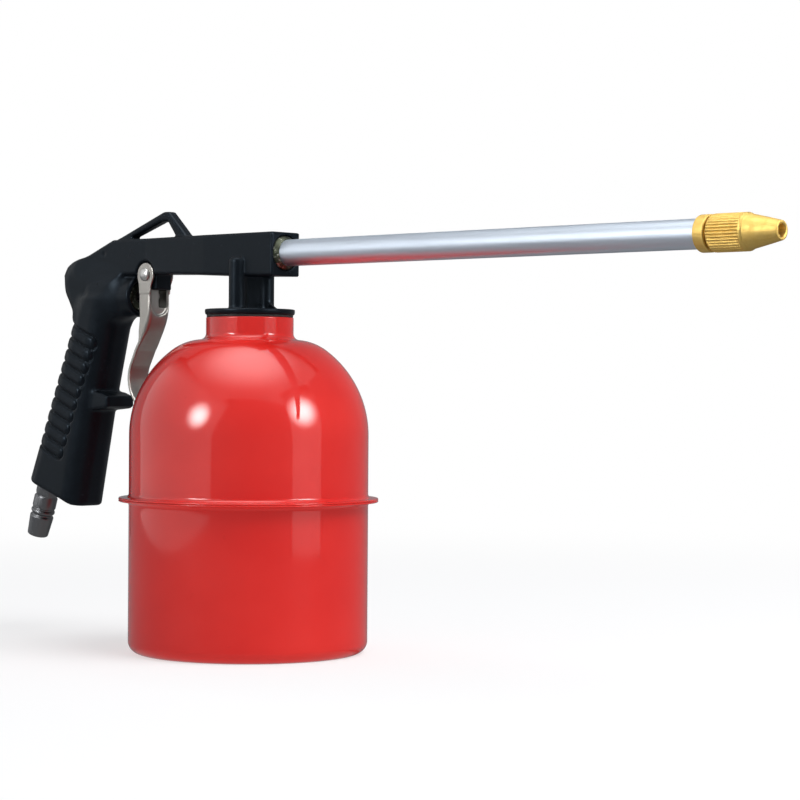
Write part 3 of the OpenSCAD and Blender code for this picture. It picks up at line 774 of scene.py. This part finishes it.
# ---------------------------------------------------------------- the trigger, its pin and the valve
PLATE = 1.5
WEB_MIDDLE = -55.7 - PLATE / 2


def trigger():
    """Pressed from one strip: two ears folded back from a web, and a strap that curls forward at its tip."""
    step, quick_step = 0.27, 0.5
    grid = Grid(TRIGGER_LOW - 1, TRIGGER_HIGH + 1, step)
    x, z = grid.side_x, grid.side_z
    strap = [(WEB_MIDDLE, 152.2)] + arc((WEB_MIDDLE - 22, 146.5), 22, 0, math.radians(-30.5), 8)
    strap += [(-65.3, 126.6)] + arc((-55.8, 114.2), 14.2, math.radians(149), math.radians(213), 10)
    strap += [(-65.9, 104.1)]
    raised = open_line_distance(x, z, [(WEB_MIDDLE, 175)] + strap)
    ribbon = np.maximum(np.abs(open_line_distance(x, z, strap)) - PLATE / 2, z - 152.6)
    ear = grid.side([(-63, 156), (-55.8, 156), (-55.8, 146.5), (-56.9, 140.4), (-59.7, 134.2),
                     (-62.6, 129.4), (-63.4, 131.2), (-63.3, 135), (-62.4, 141), (-62.8, 149)])
    side = join(ribbon, ear, 0.6)
    tip_half, top_half = 5.3, 6.0
    half = tip_half + (top_half - tip_half) * np.clip((grid.z - 104) / 40, 0, 1)
    fold = 0.45 + 1.35 * np.clip((grid.z - 128) / 8, 0, 1)
    outside = both((raised - PLATE / 2)[:, None, :], np.abs(grid.y) - half, fold)
    inside = both((raised + PLATE / 2)[:, None, :], np.abs(grid.y) - half + PLATE, 0.5)
    body = both(cut(outside, inside, 0.25), side[:, None, :], 0.15)
    neck = grid.side([(-63.1, 151), (-63.4, 158), (-55.2, 158), (-55.9, 151)])
    head = join(grid.disc(PIVOT, EAR_R), neck, 1.6)
    for way in (-1, 1):
        body = join(body, grid.plate(head, PLATE / 2, 0.3, way * (top_half - PLATE / 2)), 0.3)
    dish_z, dish_r = 146.6, 5.0
    dish = np.where(grid.z < dish_z, np.hypot(grid.y, grid.z - dish_z), np.abs(grid.y)) - dish_r
    body = cut(body, both((PLATE / 2 - 0.95 - raised)[:, None, :], dish, 0.9), 0.5)
    window = both(np.abs(grid.y - 2.25) - 2.2, np.abs(grid.z - 149.6) - 4.4, 0.6)
    body = cut(body, np.maximum(window, -60 - grid.x), 0.25)
    body = cut(body, grid.rod("y", PIVOT, PIN_R + 0.08, -20, 20), 0.15)
    points, faces = skin(body, grid)
    make_object("Trigger_lever", points, faces, "trigger", "satin_steel", ["trigger_lever"])


def pivot_pin():
    """A rivet: domed head on the right, plain end on the left through a washer."""
    head, rise, length = 2.85, 1.25, PIN_HIGH[1] - PIN_LOW[1]
    angles = np.linspace(0.1, math.pi / 2, 12)
    outline = [(0, AXIS_GAP)] + [(0.05 + rise * (1 - math.cos(a)), head * math.sin(a)) for a in angles]
    outline += [(1.55, head), (1.62, head - 0.15), (1.62, PIN_R)]
    outline += [(length - 0.3, PIN_R), (length, PIN_R - 0.3), (length, AXIS_GAP)]
    turned("Pivot_pin", outline, SIDEWAYS, (PIVOT[0], PIN_LOW[1], PIVOT[1]), "gun", "zinc_plate",
           ["trigger_pivot_pin"], 64)
    thick, over, hole = 1.0, 3.2, PIN_R + 0.02
    washer = rounded([(0, hole), (0, over), (thick, over), (thick, hole)], 0.2)
    turned("Pivot_washer", washer, SIDEWAYS, (PIVOT[0], WASHER_LOW[1], PIVOT[1]), "gun", "zinc_plate",
           ["pivot_washer"], 64)


def hexagon(low, high, radius, chamfer):
    """A lathe shape that makes the stretch from low to high a hexagon, with its corners turned off."""
    flat = radius * math.cos(math.pi / 6)

    def shape(along, given, angle):
        turn = np.mod(angle, math.pi / 3) - math.pi / 6
        edge = np.minimum(along - low, high - along)
        limit = flat + (radius - flat) * np.clip(edge / chamfer, 0, 1)
        hexed = np.minimum(flat / np.cos(turn), limit)
        on_nut = (given > flat - 0.01) & (along >= low - 0.001) & (along <= high + 0.001)
        return np.where(on_nut, hexed, given)

    return shape


def valve():
    """Gland nut, and the stem with its round button."""
    length, head_len, head_r, shank_r = VALVE_NUT_HIGH[0] - VALVE_NUT_LOW[0], 3.6, 6.5, 4.98
    head = length - head_len
    outline = [(0, 1.6), (0, shank_r - 0.28), (0.3, shank_r), (head, shank_r)]
    outline += [(s, head_r) for s in np.linspace(head, length, 9)]
    outline += [(length, 3.2), (length - 0.2, 2.95), (head + 0.6, 2.95), (head + 0.6, 1.6)]
    nut = turned("Valve_gland_nut", outline, FORWARD, (VALVE_NUT_LOW[0], 0, VALVE_Z), "gun", "brass",
                 ["valve_gland_nut"], 120, hexagon(head, length, head_r, 0.7))
    nut.data.materials[0] = OILY_BRASS
    button, stem_r = 2.4, 1.5
    button_x = STEM_HIGH[0] - STEM_LOW[0] - button
    outline = [(0, AXIS_GAP), (0, stem_r - 0.2), (0.2, stem_r), (button_x - 1.2, stem_r),
               (button_x - 1, button - 0.1)]
    outline += arc((button_x, 0), button, math.pi / 2, 0.01, 12)
    turned("Valve_stem", outline, FORWARD, (STEM_LOW[0], 0, VALVE_Z), "valve", "zinc_plate", ["valve_stem"],
           64)


def coil_spring():
    """Spring wire wound into a coil whose end turns lie flat."""
    low, high = corners("valve_spring")
    wire, turns, around, ring, flat_turn = 0.4, 5, 24, 10, 0.9
    radius = (high[2] - low[2]) / 2 - wire
    count = turns * around
    share = np.arange(count + 1) / count
    angle = share * turns * 2 * math.pi
    lift = np.clip((share * turns - flat_turn) / (turns - 2 * flat_turn), 0, 1)
    along = low[0] + wire + lift * (high[0] - low[0] - 2 * wire)
    points = []
    for x, turn in zip(along, angle):
        for a in np.linspace(0, 2 * math.pi, ring, endpoint=False):
            out = radius + wire * math.cos(a)
            points.append((x + wire * math.sin(a), out * math.cos(turn), VALVE_Z + out * math.sin(turn)))
    faces = [(i * ring + j, i * ring + (j + 1) % ring, (i + 1) * ring + (j + 1) % ring, (i + 1) * ring + j)
             for i in range(count) for j in range(ring)]
    faces += [tuple(range(ring))[::-1], tuple(count * ring + j for j in range(ring))]
    spring = make_object("Valve_spring", points, faces, "gun", "spring_steel", ["valve_spring"])
    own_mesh(spring)
    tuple(FORWARD)


# ---------------------------------------------------------------- barrel and nozzle
def barrel():
    """The drawn tube and the brass ring that holds it in the casting."""
    rear, length, wall = TUBE_LOW[0], TUBE_HIGH[0] - TUBE_LOW[0], 1.0
    outline = rounded([(0, TUBE_R - wall), (0, TUBE_R), (length, TUBE_R), (length, TUBE_R - wall)], 0.25)
    turned("Barrel_tube", outline, FORWARD, (rear, 0, BARREL_Z), "gun", "alloy_tube", ["barrel_tube"], 128)
    rear, length, rim = GLAND_LOW[0], GLAND_HIGH[0] - GLAND_LOW[0], (GLAND_HIGH[2] - GLAND_LOW[2]) / 2
    bevel = 2.0
    outline = [(0, TUBE_R), (0, rim), (length - bevel, rim), (length, TUBE_R + 0.3), (length, TUBE_R)]
    gland = turned("Barrel_gland_ring", rounded(outline, (0.1, 0.1, 0.6, 0.15, 0.05)), FORWARD,
                   (rear, 0, BARREL_Z), "gun", "brass", ["barrel_gland_nut"], 128)
    gland.data.materials[0] = OILY_BRASS


def adaptor():
    """Plain collar behind the cap, with the thread that the cap runs on."""
    collar, length = TUBE_HIGH[0], 4.6
    over = (ADAPTOR_HIGH[2] - ADAPTOR_LOW[2]) / 2
    inside, end, bore, thread_r = ADAPTOR_LOW[0] - collar, ADAPTOR_HIGH[0] - collar, 2.5, 4.6
    outline = [(inside, bore), (inside, 4.2), (inside + 0.3, 4.5), (-0.01, 4.5)]
    outline += arc((0.45, over - 0.45), 0.45, math.pi, math.pi / 2, 4)
    outline += arc((length - 0.55, over - 0.55), 0.55, math.pi / 2, 0, 5)
    outline += [(length, thread_r + 0.05)]
    outline += [(s, thread_r) for s in np.linspace(length + 0.01, end - 0.4, 96)]
    outline += [(end, thread_r - 0.5), (end, bore)]

    def thread(along, given, angle):
        wave = 0.5 + 0.5 * np.cos(2 * math.pi * along - angle)
        run = np.clip(np.minimum(along - length - 3.2, end - 1 - along) / 0.8, 0, 1)
        return np.where(np.abs(given - thread_r) < 0.001, given - 0.45 * wave * run, given)

    turned("Nozzle_adaptor", outline, FORWARD, (collar, 0, BARREL_Z), "gun", "brass", ["nozzle_adaptor"],
           shape=thread)


def nozzle_cap():
    """Straight flutes, a bright shoulder, and a long cone down to the spray hole. Its bore starts with the
    O-ring's groove."""
    length, over = CAP_HIGH[0] - CAP_LOW[0], (CAP_HIGH[2] - CAP_LOW[2]) / 2
    flutes, flute_depth, knurl, hole, tip, bore, groove_r = 36, 0.5, 14.0, 2.3, 3.6, 4.69, 5.65
    outline = [(0, bore + 0.01), (0, over - 0.55), (0.12, over - 0.3), (0.5, over)]
    outline += [(s, over) for s in np.linspace(0.9, knurl - 0.75, 16)]
    outline += [(knurl - 0.45, over), (knurl, over), (knurl + 0.12, over - 0.02)]
    outline += arc((knurl + 0.2, over - 1.25), 1.24, math.radians(85), math.radians(38), 6)
    outline += [(knurl + 1.25, over - 0.55), (knurl + 1.45, over - 0.60)]
    cone, root = knurl + 1.6, over - 0.62
    run = length - 0.5 - cone
    outline += [(cone + run * t, tip + (root - tip) * (1 - t) ** 0.95) for t in np.linspace(0.03, 1, 18)]
    outline += arc((length - 0.42, tip - 0.42), 0.42, math.radians(70), 0, 4)
    outline += [(length, hole + 0.25), (length - 0.25, hole), (length - 5.3, hole), (15.3, 4.0)]
    outline += [(15.3, bore), (3, bore), (2.95, groove_r), (1.5, groove_r), (1.45, bore)]

    def fluted(along, given, angle):
        wave = np.abs(np.sin(flutes * angle / 2))
        groove = flute_depth * (1 - wave)
        ends = np.clip((knurl - 0.2 - along) / 0.5, 0, 1)
        return np.where(np.abs(given - over) < 0.001, given - groove * ends, given)

    turned("Nozzle_cap", outline, FORWARD, (CAP_LOW[0], 0, BARREL_Z), "nozzle", "brass", ["nozzle_cap"],
           flutes * 14, fluted)


# ---------------------------------------------------------------- air inlet and dip tube
def inlet():
    """Hose nipple under the grip: hexagon, collar, bright ring, and a tapered nose."""
    up = (math.sin(LEAN), 0, math.cos(LEAN))
    origin = (INLET[0], 0, INLET[1])
    bore, hex_r = 2.5, 5.4
    outline = [(9, bore), (9, 4.2), (8.6, 4.6), (-0.01, 4.6), (-1.35, 4.6)]
    outline += [(s, hex_r) for s in np.linspace(-1.4, -6.9, 12)]
    outline += [(-7.7, 5.3)]
    outline += arc((-12.1, 4.75), 0.55, math.pi / 2, math.pi, 4)
    outline += [(-12.75, 4.95), (-13.0, 5.0)]
    outline += arc((-14.4, 4.35), 1.05, math.radians(15), math.radians(165), 10)
    outline += [(-15.75, 4.55), (-16.3, 4.5), (-16.5, 5.05)]
    outline += arc((-17.1, 4.85), 0.5, math.radians(60), math.radians(95), 3)
    outline += [(-17.15 - 8.1 * t, 5.35 - 0.6 * t) for t in np.linspace(0.05, 0.95, 6)]
    outline += arc((-25.27, 3.85), 0.9, math.pi / 2, math.pi, 6)
    outline += [(-26.17, bore + 0.35), (-25.8, bore)]
    turned("Inlet_nipple", outline, up, origin, "gun", "nickel_steel", ["inlet_nipple"], 120,
           hexagon(-6.9, -1.4, hex_r, 0.8))
    ring = rounded([(-1.15, 4.65), (-1.15, 5.4), (-0.05, 5.4), (-0.05, 4.65)], 0.3)
    turned("Inlet_washer", ring, up, origin, "gun", "copper", ["inlet_seal_washer"], 96)


def dip_tube():
    """Nylon tube down from the lid, with a slotted brass foot."""
    low, length, over, wall = DIP_LOW[2], DIP_HIGH[2] - DIP_LOW[2], (DIP_HIGH[0] - DIP_LOW[0]) / 2, 0.8
    outline = rounded([(0, over - wall), (0, over), (length, over), (length, over - wall)], 0.2)
    turned("Dip_tube", outline, UP, (COLUMN_X, COLUMN_Y, low), "gun", "nylon", ["dip_tube"], 64)
    margin, step, quick_step = 0.6, 0.24, 0.4
    grid = Grid(FILTER_LOW - margin, FILTER_HIGH + margin, step)
    foot = grid.rod("z", (COLUMN_X, COLUMN_Y), 4.0, FILTER_LOW[2], FILTER_HIGH[2], 0.5)
    foot = cut(foot, grid.rod("z", (COLUMN_X, COLUMN_Y), 3.0, FILTER_LOW[2] + 2, FILTER_HIGH[2] + 4), 0.2)
    for k in range(3):
        a = k * math.pi / 3
        across = np.abs((grid.x - COLUMN_X) * math.sin(a) - (grid.y - COLUMN_Y) * math.cos(a)) - 0.6
        foot = cut(foot, both(across, np.abs(grid.z - FILTER_LOW[2] - 3.3) - 2.5, 0.2), 0.2)
    points, faces = skin(foot, grid)
    make_object("Dip_tube_filter", points, faces, "gun", "brass", ["dip_tube_filter"])


def finish_cad_parts():
    """The CAD parts that stay as they are get the same finishes."""
    for subpart in frame["record"]["subparts"]:
        for material_slot in frame["nodes"][subpart["node"]].material_slots:
            material_slot.material = MATERIALS[subpart["material_slot"]]


can_shells()
neck_parts()
casting()
trigger()
pivot_pin()
valve()
coil_spring()
barrel()
adaptor()
nozzle_cap()
inlet()
dip_tube()
finish_cad_parts()


# ---------------------------------------------------------------- camera, floor and light
PAPER = 1.0
AIM_POINT = Vector((0, 0, 0.09))


def link(made):
    bpy.context.scene.collection.objects.link(made)
    return made


def camera():
    """A long lens, nearly level, looking from the front right."""
    azimuth, pitch, roll = math.radians(42.1885), math.radians(0.3136), math.radians(0.3831)
    distance, height, aside = 997.5735, 111.35, 63.0455
    inward = Vector((-math.sin(azimuth), math.cos(azimuth), 0))
    ahead = math.cos(pitch) * inward - math.sin(pitch) * Vector(UP)
    right = Vector((math.cos(azimuth), math.sin(azimuth), 0))
    up = right.cross(ahead)
    rolled_right = math.cos(roll) * right + math.sin(roll) * up
    rolled_up = -math.sin(roll) * right + math.cos(roll) * up
    data = bpy.data.cameras.new("Camera")
    data.sensor_width = 36
    data.lens = 107.236
    data.clip_start, data.clip_end = 0.05, 60
    made = link(bpy.data.objects.new("Camera", data))
    spot = height * Vector(UP) - distance * inward + aside * right
    turn = Matrix((rolled_right, rolled_up, -ahead)).transposed().to_4x4()
    made.matrix_world = Matrix.Translation(spot * MM) @ turn
    bpy.context.scene.camera = made


def stage_piece(name, points, faces, material, seen_by):
    """A surface of the studio, seen only by the kinds of ray that are named."""
    mesh = bpy.data.meshes.new(name)
    mesh.from_pydata(points, [], faces)
    mesh.materials.append(material)
    made = link(bpy.data.objects.new(name, mesh))
    for kind in ("camera", "diffuse", "glossy", "transmission", "shadow"):
        setattr(made, "visible_" + kind, kind in seen_by)
    return made


class Glow(Shader):
    """The look of a surface of the studio."""

    def __init__(self, name):
        super().__init__(name)
        self.tree.nodes.clear()
        self.surface = self.node("OutputMaterial").inputs["Surface"]
        self.space = self.node("TexCoord").outputs["Object"]

    def nearness(self, centre, full, none):
        """One within full metres of centre, falling smoothly to zero at none metres."""
        away = self.node("VectorMath")
        away.operation = "DISTANCE"
        away.inputs[1].default_value = centre
        self.link(self.space, away.inputs[0])
        return self.between(away.outputs["Value"], full, none, 1, 0, "SMOOTHERSTEP")

    def below(self, top, fade, level):
        """A level that falls smoothly to zero over the last fade metres below the top."""
        parts = self.node("SeparateXYZ")
        self.link(self.space, parts.inputs[0])
        return self.between(parts.outputs["Y"], top - fade, top, level, 0, "SMOOTHERSTEP")

    def light(self, strength):
        made = self.node("Emission")
        made.inputs["Strength"].default_value = strength
        return made


def rectangle(width, height):
    """Points and the one face of a rectangle about the origin, facing +Z."""
    w, h = width / 2, height / 2
    return [(-w, -h, 0), (w, -h, 0), (w, h, 0), (-w, h, 0)], [(0, 1, 2, 3)]


def aim(made, bearing, elevation, away):
    """Puts a lamp or panel some metres away from the can, facing it. Bearing zero is its right side."""
    a, e = math.radians(bearing), math.radians(elevation)
    back = Vector((math.sin(a) * math.cos(e), -math.cos(a) * math.cos(e), math.sin(e)))
    made.location = AIM_POINT + back * away
    made.rotation_mode = "QUATERNION"
    made.rotation_quaternion = back.to_track_quat("Z", "Y")


def floor():
    """One wide pale floor, which brightens evenly away from the object."""
    look = Glow("Pale floor")
    matt = look.node("BsdfDiffuse")
    matt.inputs["Color"].default_value = (0.86, 0.86, 0.87, 1)
    blend = look.node("MixShader")
    matt_share = look.between(look.nearness((0, 0, 0), 0.1, 1.0), 0, 1, 0, 0.4)
    look.link(matt_share, blend.inputs["Fac"])
    look.link(look.light(PAPER).outputs[0], blend.inputs[1])
    look.link(matt.outputs[0], blend.inputs[2])
    look.link(blend.outputs[0], look.surface)
    stage_piece("Floor", *rectangle(28, 28), look.material, ("camera", "diffuse", "shadow"))


def backdrop():
    """A pale wall all round, which only the camera sees."""
    look = Glow("Pale wall")
    look.link(look.light(PAPER).outputs[0], look.surface)
    radius, bottom, top, count = 13.0, -0.02, 13.0, 48
    ring = arc((0, 0), radius, 0, 2 * math.pi, count)[:count]
    points = [(x, y, z) for z in (bottom, top) for x, y in ring]
    faces = [(i, (i + 1) % count, (i + 1) % count + count, i + count) for i in range(count)]
    stage_piece("Wall", points, faces, look.material, ("camera",))


def soft_box(name, bearing, elevation, away, width, height, dim, hot, hot_at, hot_size, fade):
    """A glowing panel aimed at the can. Its hot spot is at hot_at, in metres right and up from its middle as
    seen from the can, and fades over hot_size metres to the dim level, which dies away towards the top."""
    look = Glow(name)
    level = look.between(look.nearness((*hot_at, 0), 0, hot_size), 0, 1, 0, hot)
    look.link(look.below(height / 2, fade, dim), level.node.inputs["To Min"])
    shine = look.light(hot)
    look.link(level, shine.inputs["Strength"])
    look.link(shine.outputs[0], look.surface)
    panel = stage_piece(name, *rectangle(width, height), look.material, ("glossy", "transmission"))
    aim(panel, bearing, elevation, away)


def room(matt_level, gloss_level):
    """Dim light from everywhere else, with its level for matt surfaces and for reflections."""
    world = bpy.data.worlds.new("Room")
    bpy.context.scene.world = world
    world.use_nodes = True
    tree = world.node_tree
    background = tree.nodes["Background"]
    background.inputs["Color"].default_value = (0.93, 0.96, 1.0, 1)
    path = tree.nodes.new("ShaderNodeLightPath")
    level = tree.nodes.new("ShaderNodeMapRange")
    level.inputs["To Min"].default_value = matt_level
    level.inputs["To Max"].default_value = gloss_level
    tree.links.new(path.outputs["Is Glossy Ray"], level.inputs["Value"])
    tree.links.new(level.outputs["Result"], background.inputs["Strength"])


def key_light(bearing, elevation, away, size, watts):
    """A wide soft lamp, too soft to show in reflections."""
    lamp = bpy.data.lights.new("Key", "AREA")
    lamp.shape = "DISK"
    lamp.size = size
    lamp.energy = watts
    key = link(bpy.data.objects.new("Key", lamp))
    key.visible_glossy = False
    aim(key, bearing, elevation, away)


camera()
floor()
backdrop()
room(matt_level=0.42, gloss_level=0.24)
key_light(bearing=98, elevation=56, away=1.8, size=1.4, watts=34)
soft_box("Left_panel", bearing=-35, elevation=27, away=1.5, width=3.43, height=1.9,
         dim=0.9, hot=22.0, hot_at=(0.84, -0.135), hot_size=0.52, fade=0.6)
soft_box("Right_panel", bearing=102, elevation=21, away=1.5, width=0.88, height=1.5,
         dim=0.95, hot=22.0, hot_at=(-0.03, 0.06), hot_size=0.52, fade=0.75)
soft_box("Top_panel", bearing=40, elevation=80, away=1.3, width=2.6, height=2.2,
         dim=0.65, hot=4.2, hot_at=(0, 0.1), hot_size=1.1, fade=0.5)
soft_box("Low_panel", bearing=0, elevation=-90, away=0.39, width=1.6, height=1.6,
         dim=0.34, hot=0.34, hot_at=(0, 0), hot_size=0.3, fade=0.3)
bpy.context.scene.view_settings.view_transform = "Standard"
